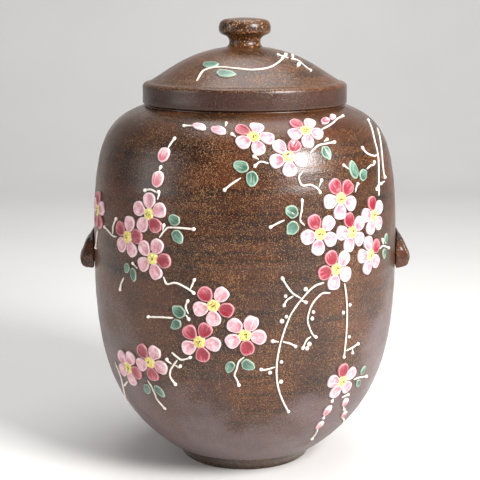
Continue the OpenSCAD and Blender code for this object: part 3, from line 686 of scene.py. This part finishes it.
# Millimetres from each spray's place on the wall. A blossom is across, up, turn, size and its rose petals,
# and a leaf or bud is across, up, heading, length and width.
sprays = {
    "left": {
        "place": (-38, 245),
        "blossoms": [(7, 22, -2, 1, [2]), (-19, -2, 10, 1, [1, 4]), (12, -18, 22, 1, [1]),
                     (-81, 13, 0, 0.95, [0, 2, 3])],
        "leaves": [(34, 19, 300, 11, 9), (38, 4, 140, 13, 9), (-21, -32, 200, 9, 7),
                   (-12, -37, 170, 12, 7)],
        "buds": [(16, 76, 10, 14, 12), (14, 54, 5, 15, 12)],
        "twigs": [[(19, 84.5), (20, 88), (22, 94)], [(15, 63), (16, 66.5)],
                  [(16, 37), (17, 41), (15, 44)], [(14, 42), (7, 44), (-1, 42)],
                  [(20, 3), (25, 9), (31, 12), (55, 12)], [(23, 10), (24, 15)],
                  [(-39, -5), (-44, -5), (-53, -2), (-63, 1)], [(-44, -2), (-43, 5), (-37, 13)],
                  [(-8, -29), (-14, -25)], [(-27, -43), (-31, -49), (-33, -56)],
                  [(24, -35), (27, -40), (35, -38), (43, -40), (51, -44), (55, -47)],
                  [(51, -41), (55, -32)], [(-84, -8), (-88, -15), (-93, -27)]]},
    "centre": {
        "place": (-10, 172),
        "blossoms": [(-2, 17, 36, 1, [1, 4]), (-15, -18, 24, 1, [0, 2, 4]), (26, -10, 27, 1, [2])],
        "leaves": [(-35, 9, 300, 13, 10), (-38, -4, 230, 11, 8), (12, -41, 200, 11, 8),
                   (29, -39, 115, 12, 9)],
        "twigs": [[(-42, 2), (-55, 1), (-70, -1)], [(-27, 5), (-24, 1)], [(-26, 9), (-28, 14), (-25, 21)],
                  [(24, -32), (20, -36), (18, -43), (16, -49), (18, -54), (20, -61)]]},
    "low": {
        "place": (-38, 120),
        "blossoms": [(3, 7, 32, 1, [2, 4]), (-30, -6, 28, 1, [1])],
        "leaves": [(-8, -24, 200, 11, 8), (8, -23, 140, 13, 8)],
        "twigs": [[(-4, -15), (-1, -20), (1, -28), (2, -34), (9, -44)],
                  [(30, 20), (34, 17), (39, 15), (49, 19)],
                  [(33, 13), (29, 8), (25, 2), (24, -5), (29, -13)], [(26, 10), (23, 12), (23, 15)],
                  [(32, 8), (35, 7), (37, 10)],
                  [(-57, -9), (-52, -21), (-54, -34), (-60, -47), (-68, -60)], [(-40, -25), (-49, -32)]]},
    "shoulder": {
        "place": (16, 322),
        "blossoms": [(-28, 18, 26, 0.94, [4]), (0, -2, 36, 0.94, [0]), (21, 23, 38, 0.94, [4])],
        "leaves": [(-43, -10, 290, 13, 10), (-34, -21, 190, 13, 10), (38, -1, 150, 12, 9)],
        "buds": [(-58, 25, 95, 14, 10), (-75, 29, 95, 13, 9), (47, 34, 60, 12, 8), (59, 39, 60, 10, 7)],
        "twigs": [[(-45, 19), (-48, 22)], [(-50, 32), (-48, 37)], [(-83, 30), (-92, 29)],
                  [(-20, -7), (-26, -6), (-32, -11)], [(-28, -3), (-32, 0)],
                  [(-45, -21), (-53, -26), (-60, -32)], [(22, 1), (26, 4), (31, 7), (38, 8), (51, 9)],
                  [(39, 11), (43, 13)], [(40, 24), (48, 27), (56, 31), (65, 36), (77, 39)],
                  [(11, -17), (8, -21), (11, -28), (19, -28), (26, -32), (29, -37)],
                  [(28, -29), (31, -23)]]},
    "right": {
        "place": (38, 245),
        "blossoms": [(-6, 36, 45, 1, [0, 4]), (-30, 6, 46, 1, [4]), (6, 4, 56, 0.96, [4]),
                     (38, 15, 62, 0.96, [4]), (32, -21, 57, 0.96, [0]), (-13, -28, 46, 1, [3, 4])],
        "leaves": [(13, 60, 350, 16, 10), (26, 54, 55, 11, 9), (-57, 28, 300, 12, 10),
                   (-57, 13, 220, 12, 10), (64, -11, 20, 9, 7), (60, -25, 175, 9, 7)],
        "twigs": [[(6, 62), (0, 66)], [(13, 41), (15, 45), (18, 48)],
                  [(34, 59), (40, 61), (46, 61), (48, 65)], [(-46, 16), (-49, 20), (-47, 30), (-46, 39)],
                  [(-65, 20), (-70, 18), (-78, 14)], [(52, -18), (58, -17), (73, -22)],
                  [(57, -14), (55, -9)], [(50, 33), (52, 47), (58, 69), (61, 86), (76, 105)],
                  [(49, 41), (45, 37)], [(64, 43), (54, 42)],
                  [(86, 92), (75, 80), (68, 67), (65, 54), (67, 45)],
                  [(55, 69), (49, 69), (37, 73), (31, 80)]]},
    "hanging": {
        "place": (40, 106),
        "blossoms": [(0, 0, 64, 0.96, [4])],
        "leaves": [(30, 4, 30, 9, 6), (27, -10, 150, 9, 6)],
        "buds": [(-8, -32, 20, 12, 8), (-9, -51, 25, 10, 7), (14, -28, 10, 10, 8), (23, -47, 15, 9, 7)],
        "twigs": [[(19, -3), (26, -3), (42, -6)], [(-6, -20), (-7, -23)], [(-9, -40), (-9, -43)],
                  [(-8, -58), (-6, -66), (-6, -76)], [(8, -20), (17, -19)], [(16, -36), (19, -40)],
                  [(26, -54), (33, -60), (39, -69)]]},
}
trailing = {
    "place": (20, 160),
    "twigs": [[(20, 46), (12, 44), (3, 37), (-10, 21), (-18, 0), (-22, -22), (-21, -43), (-15, -62),
               (-5, -81)],
              [(-3, 35), (-9, 39), (-14, 45), (-20, 55)], [(-10, 36), (-15, 33), (-18, 27)],
              [(1, 31), (5, 29)], [(27, 36), (19, 36), (10, 28), (6, 18), (6, 10), (11, -1), (16, -5)],
              [(8, -4), (5, -6), (1, -15)], [(-23, -5), (-29, -4)], [(-16, -6), (-10, -8), (-4, -12)],
              [(-25, -30), (-33, -32), (-38, -31)], [(45, 41), (48, 23), (49, -1), (48, -31)],
              [(52, -23), (58, -22), (68, -19)], [(59, -25), (59, -29)]],
    "dots": [(3, 42), (-15, 18), (-19, 14), (-18, -25), (-17, -45), (-16, 37), (11, 20), (10, 14),
             (8, -10), (6, -14), (-28, -35), (52, 21), (44, 15), (53, -10)],
}
lidSprig = {
    "place": (0, 392),
    "leaves": [(-33, 8, 80, 16, 9), (-17, -6, 95, 17, 10)],
    "buds": [(46, 26, 60, 7, 5), (57, 22, 60, 7, 5), (58, 6, 60, 7, 5)],
    "twigs": [[(-46, -17), (-40, -2), (-25, 4), (-7, 2), (7, 0), (22, 3), (32, 11), (40, 21)],
              [(46, 20), (33, 29)], [(52, 17), (60, 14), (68, 2), (75, -6)]],
}


def wayFrom(middle, angle, away):
    return middle[0] + away * math.sin(angle), middle[1] + away * math.cos(angle)


def petalPile(spray, rose, seed):
    pile = newPile()
    draw = random.Random(seed)
    for across, up, turn, size, roseList in spray["blossoms"]:
        for k in range(petalForm["count"]):
            tint = draw.uniform(*petalForm["roseTint" if k in roseList else "paleTint"])
            lean = draw.uniform(-petalForm["lean"], petalForm["lean"])
            if (k in roseList) != rose:
                continue
            heading = turn + 360 / petalForm["count"] * k
            middle = wayFrom((across, up), math.radians(heading), petalForm["reach"] * size)
            form = dict(petalForm, length=petalForm["length"] * size, width=petalForm["width"] * size)
            number = seed + len(pile["points"]) * 0.01
            addDab(pile, wall, spray["place"], middle, heading + lean, form, tint, number)
    return pile


def middlePile(spray, seed):
    # One yellow dab, six paler ones round it and four dark specks in it
    pile = newPile()
    draw = random.Random(seed)
    for across, up, turn, size, _ in spray["blossoms"]:
        addDab(pile, wall, spray["place"], (across, up), turn, middleForm, 0.0, draw.random())
        for k in range(stamenForm["count"]):
            heading = 360 / stamenForm["count"] * k
            angle = math.radians(heading + draw.uniform(-stamenForm["stray"], stamenForm["stray"]))
            spot = wayFrom((across, up), angle, draw.uniform(*stamenForm["reach"]) * size)
            addDab(pile, wall, spray["place"], spot, heading, stamenForm, 0.15, draw.random())
        for k in range(speckForm["count"]):
            angle = draw.uniform(0, 2 * math.pi)
            spot = wayFrom((across, up), angle, draw.uniform(*speckForm["reach"]))
            addDab(pile, wall, spray["place"], spot, 0, speckForm, 1.0, draw.random())
    return pile


def leafPile(surface, spray, key, form, seed, tintRange):
    pile = newPile()
    draw = random.Random(seed)
    for across, up, heading, length, width in spray[key]:
        sized = dict(form, length=length * form["longer"], width=width * form["wider"])
        tint = draw.uniform(*tintRange)
        addDab(pile, surface, spray["place"], (across, up), heading, sized, tint, draw.random())
    return pile


for number, (name, spray) in enumerate(sprays.items()):
    seed = 10 * number + 7
    for rose, word, material in ((False, "pale", petalPale), (True, "rose", petalRose)):
        addSlip(f"{name}{word.title()}Petals", pileMesh(petalPile(spray, rose, seed)), material, "jar",
                f"{name}_{word}_petals")
    addSlip(f"{name}Middles", pileMesh(middlePile(spray, seed + 1)), middleSlip, "jar",
            f"{name}_middles")
    addSlip(f"{name}Leaves", pileMesh(leafPile(wall, spray, "leaves", leafForm, seed + 2, (0.3, 0.9))),
            leafSlip, "jar", f"{name}_leaves")
    if "buds" in spray:
        addSlip(f"{name}Buds", pileMesh(leafPile(wall, spray, "buds", budForm, seed + 3, (0.3, 0.9))),
                budSlip, "jar", f"{name}_buds")
addSlip("lidLeaves", pileMesh(leafPile(dome, lidSprig, "leaves", leafForm, 91, (0.2, 0.5))), leafSlip,
        "lid", "lid_leaves")
addSlip("lidBuds", pileMesh(leafPile(dome, lidSprig, "buds", budForm, 92, (0.0, 0.2))), whiteSlip,
        "lid", "lid_buds")
print("brushed slip done")


# Trailed slip: beads swept along lines by one node tree, and dots set on points by another

# In millimetres, but for the waves of an unsteady hand, which are so many in a metre. A bead starts thin,
# has its full width after a while and ends in a blob.
beadForm = {"radius": 0.88, "thinStart": 0.66, "fullAfter": 5, "roundStart": 0.7, "blob": 1.7,
            "blobReach": 1.9, "startBack": 1.8, "pointStep": 0.8, "meshStep": 0.7, "lift": 0.12,
            "wobble": 0.25, "waves": 260.0, "sides": 10}
dotForm = {"radius": 1.9, "flatness": 0.75, "lift": 0.1, "seed": 4}


def makeBeadGroup():
    group, given = startGroup("trailBead", {
        "Step": "Float", "Wobble": "Float", "Waves": "Float", "Sides": "Int", "Seed": "Float",
        "Material": "Material"})
    line = addNode(group, "GeometryNodeMeshToCurve", {}, {"Mesh": given["Geometry"]})
    even = addNode(group, "GeometryNodeResampleCurve", {"mode": "LENGTH"},
                   {"Curve": line, "Length": given["Step"]})
    where = addNode(group, "GeometryNodeInputPosition")
    shifted = addNode(group, "VectorMath", plus, [where, given["Seed"]])
    unsteady = addNode(group, "TexNoise", {}, {"Vector": shifted, "Scale": given["Waves"], "Detail": 1.0})
    centred = addNode(group, "VectorMath", minus, [unsteady.outputs["Color"], (0.5, 0.5, 0.5)])
    offset = addNode(group, "VectorMath", {"operation": "SCALE"}, {0: centred, "Scale": given["Wobble"]})
    moved = addNode(group, "GeometryNodeSetPosition", {}, {"Geometry": even, "Offset": offset})
    thick = addNode(group, "GeometryNodeInputNamedAttribute", {"data_type": "FLOAT"},
                    {"Name": "beadRadius"})
    varied = addNode(group, "MapRange", {}, [unsteady, 0.25, 0.75, 0.84, 1.16])
    radius = addNode(group, "Math", times, [thick, varied])
    sized = addNode(group, "GeometryNodeSetCurveRadius", {}, {"Curve": moved, "Radius": radius})
    circle = addNode(group, "GeometryNodeCurvePrimitiveCircle", {},
                     {"Resolution": given["Sides"], "Radius": 1.0})
    own = addNode(group, "GeometryNodeInputRadius")
    swept = addNode(group, "GeometryNodeCurveToMesh", {}, {
        "Curve": sized, "Profile Curve": circle, "Scale": own, "Fill Caps": True})
    endGroup(group, swept, given["Material"])
    return group


def makeDotGroup():
    group, given = startGroup("setDots", {"Radius": "Float", "Flatness": "Float", "Seed": "Int",
                                          "Material": "Material"})
    ball = addNode(group, "GeometryNodeMeshIcoSphere", {}, {"Radius": given["Radius"], "Subdivisions": 3})
    normal = addNode(group, "GeometryNodeInputNamedAttribute", {"data_type": "FLOAT_VECTOR"},
                     {"Name": "wallOut"})
    upright = addNode(group, "FunctionNodeAlignRotationToVector", {"axis": "Z"}, {"Vector": normal})
    # A random float has its least and most at sockets 2 and 3, and its result at output 1
    drawn = addNode(group, "FunctionNodeRandomValue", {"data_type": "FLOAT"},
                    {2: 0.8, 3: 1.2, "Seed": given["Seed"]})
    size = drawn.outputs[1]
    scale = addNode(group, "CombineXYZ", {}, [size, size, given["Flatness"]])
    placed = addNode(group, "GeometryNodeInstanceOnPoints", {}, {
        "Points": given["Geometry"], "Instance": ball, "Rotation": upright, "Scale": scale})
    endGroup(group, placed, given["Material"])
    return group


trailBead, setDots = makeBeadGroup(), makeDotGroup()


def smoothRun(points, step):
    made = []
    last = len(points) - 1
    for i in range(last):
        a, b, c, d = points[max(i - 1, 0)], points[i], points[i + 1], points[min(i + 2, last)]
        count = max(1, math.ceil(math.dist(b, c) / step))
        for k in range(count):
            t = k / count
            made.append(tuple(
                0.5 * (2 * b[n] + (c[n] - a[n]) * t + (2 * a[n] - 5 * b[n] + 4 * c[n] - d[n]) * t * t
                       + (3 * b[n] - 3 * c[n] + d[n] - a[n]) * t ** 3) for n in (0, 1)))
    made.append(tuple(points[last]))
    return made


def beadRadius(s, length):
    thin, blob, reach, start = (beadForm[key] for key in ("thinStart", "blob", "blobReach", "roundStart"))
    radius = beadForm["radius"] * (thin + (1 - thin) * ease(s / beadForm["fullAfter"]))
    toEnd = length - s
    swelling = 1 - ((toEnd - reach) / reach) ** 2
    if toEnd < reach:
        radius = blob * math.sqrt(max(swelling, 0.02))
    elif swelling > 0:
        radius = max(radius, blob * math.sqrt(swelling))
    if s < start:
        radius *= math.sqrt(max(s / start, 0.05))
    return radius * mm


def trailPiece(name, surface, spray, body, node, seed):
    points, edges, radii = [], [], []
    for given in spray["twigs"]:
        (x0, y0), (x1, y1) = given[0], given[1]
        # Each line starts a little further back, so that it grows out of the stroke it leaves
        share = beadForm["startBack"] / math.dist(given[0], given[1])
        start = (x0 - share * (x1 - x0), y0 - share * (y1 - y0))
        flat = smoothRun([start] + given, beadForm["pointStep"])
        runs = surfaceOf(flat)["run"]
        first = len(points)
        for (across, up), s in zip(flat, runs):
            points.append(laid(surface, spray["place"], across, up, beadForm["lift"]))
            radii.append(beadRadius(s, runs[-1]))
        edges += [(first + i, first + i + 1) for i in range(len(flat) - 1)]
    source = bpy.data.meshes.new(name + "Lines")
    source.from_pydata(points, edges, [])
    source.attributes.new("beadRadius", "FLOAT", "POINT").data.foreach_set("value", radii)
    mesh = runGroup(name, source, trailBead, {
        "Step": beadForm["meshStep"] * mm, "Wobble": beadForm["wobble"] * mm, "Waves": beadForm["waves"],
        "Sides": beadForm["sides"], "Seed": seed, "Material": whiteSlip})
    faceOut(mesh)
    addSlip(name, mesh, whiteSlip, body, node)


for number, (name, spray) in enumerate(sprays.items()):
    trailPiece(f"{name}Twigs", wall, spray, "jar", f"{name}_twigs", 0.1 * number)
trailPiece("trailingTwigs", wall, trailing, "jar", "trailing_twigs", 0.9)
trailPiece("lidTwigs", dome, lidSprig, "lid", "lid_twigs", 1.3)

low, high = ([laid(wall, trailing["place"], x, y, lift) for x, y in trailing["dots"]]
             for lift in (dotForm["lift"], dotForm["lift"] + 1))
dotSource = bpy.data.meshes.new("dotPoints")
dotSource.from_pydata(low, [], [])
outward = [c for under, over in zip(low, high) for c in over - under]
dotSource.attributes.new("wallOut", "FLOAT_VECTOR", "POINT").data.foreach_set("vector", outward)
dotMesh = runGroup("trailingDots", dotSource, setDots, {
    "Radius": dotForm["radius"] * mm, "Flatness": dotForm["flatness"], "Seed": dotForm["seed"],
    "Material": whiteSlip})
addSlip("trailingDots", dotMesh, whiteSlip, "jar", "trailing_dots")
print("trailed slip done")


# Floor, lights and camera, in metres

def studioPaper(name, look):
    # Matt background paper, with a hardly visible drift of tone
    material, tree, place = startMaterial(name)
    drift = addNode(tree, "TexNoise", {}, atSize(place, 300, 2))
    tone = addNode(tree, "Mix", inColour, {0: drift, 6: look["light"], 7: look["dark"]})
    endMaterial(tree, {"Base Color": tone.outputs[2], "Roughness": 0.75})
    return material


paperForm = {"front": -3.0, "back": 1.6, "bend": 0.8, "top": 4.0, "half": 4.0}
paperLook = {"light": "#efedea", "dark": "#e6e4e1"}
bend = paperForm["bend"]
sweep = ([(paperForm["front"], 0.0)] + roundEdge(paperForm["back"], bend, bend, -90, 0, 16)
         + [(paperForm["back"] + bend, paperForm["top"])])
floorPoints = [(x, y, z) for y, z in sweep for x in (-paperForm["half"], paperForm["half"])]
floorFaces = [(2 * i, 2 * i + 1, 2 * i + 3, 2 * i + 2) for i in range(len(sweep) - 1)]
floorMesh = bpy.data.meshes.new("studioFloor")
floorMesh.from_pydata(floorPoints, [], floorFaces)
studioFloor = addPiece("studioFloor", floorMesh, studioPaper("paleStudioPaper", paperLook))

lightPlan = [
    {"name": "windowKey", "at": (1.0, -0.98, 1.04), "aim": (0, 0, 0.26), "size": (0.55, 0.75), "watts": 46},
    {"name": "leftFill", "at": (-1.6, -0.6, 0.7), "aim": (0, 0, 0.22), "size": (0.9, 0.9), "watts": 8},
    {"name": "topSoft", "at": (0.1, 0.3, 1.9), "aim": (0, 0, 0.3), "size": (1.4, 1.4), "watts": 22},
]
for plan in lightPlan:
    lamp = bpy.data.lights.new(plan["name"], "AREA")
    lamp.shape = "RECTANGLE"
    lamp.size, lamp.size_y = plan["size"]
    lamp.energy = plan["watts"]
    light = bpy.data.objects.new(plan["name"], lamp)
    light.location = plan["at"]
    light.rotation_euler = (Vector(plan["aim"]) - Vector(plan["at"])).to_track_quat("-Z", "Y").to_euler()
    bpy.context.scene.collection.objects.link(light)

worldPlan = {"colour": (0.9, 0.93, 1.0, 1), "strength": 0.2}
world = bpy.data.worlds.new("studioWorld")
world.use_nodes = True
background = world.node_tree.nodes["Background"].inputs
background["Color"].default_value = worldPlan["colour"]
background["Strength"].default_value = worldPlan["strength"]
bpy.context.scene.world = world

# The camera that took the photograph, as fitted to its outlines
cameraPlan = {"lens": 91.5, "sensor": 36, "shift": -0.01, "at": (0, -1.2, 0.4616), "tiltDown": 0.2}
lens = bpy.data.cameras.new("photoCamera")
lens.lens = cameraPlan["lens"]
lens.sensor_width = cameraPlan["sensor"]
lens.shift_x = cameraPlan["shift"]
camera = bpy.data.objects.new("photoCamera", lens)
camera.location = cameraPlan["at"]
camera.rotation_euler = (math.pi / 2 - cameraPlan["tiltDown"], 0, 0)
bpy.context.scene.collection.objects.link(camera)
bpy.context.scene.camera = camera
bpy.context.scene.view_settings.view_transform = "Standard"
print("stage done")
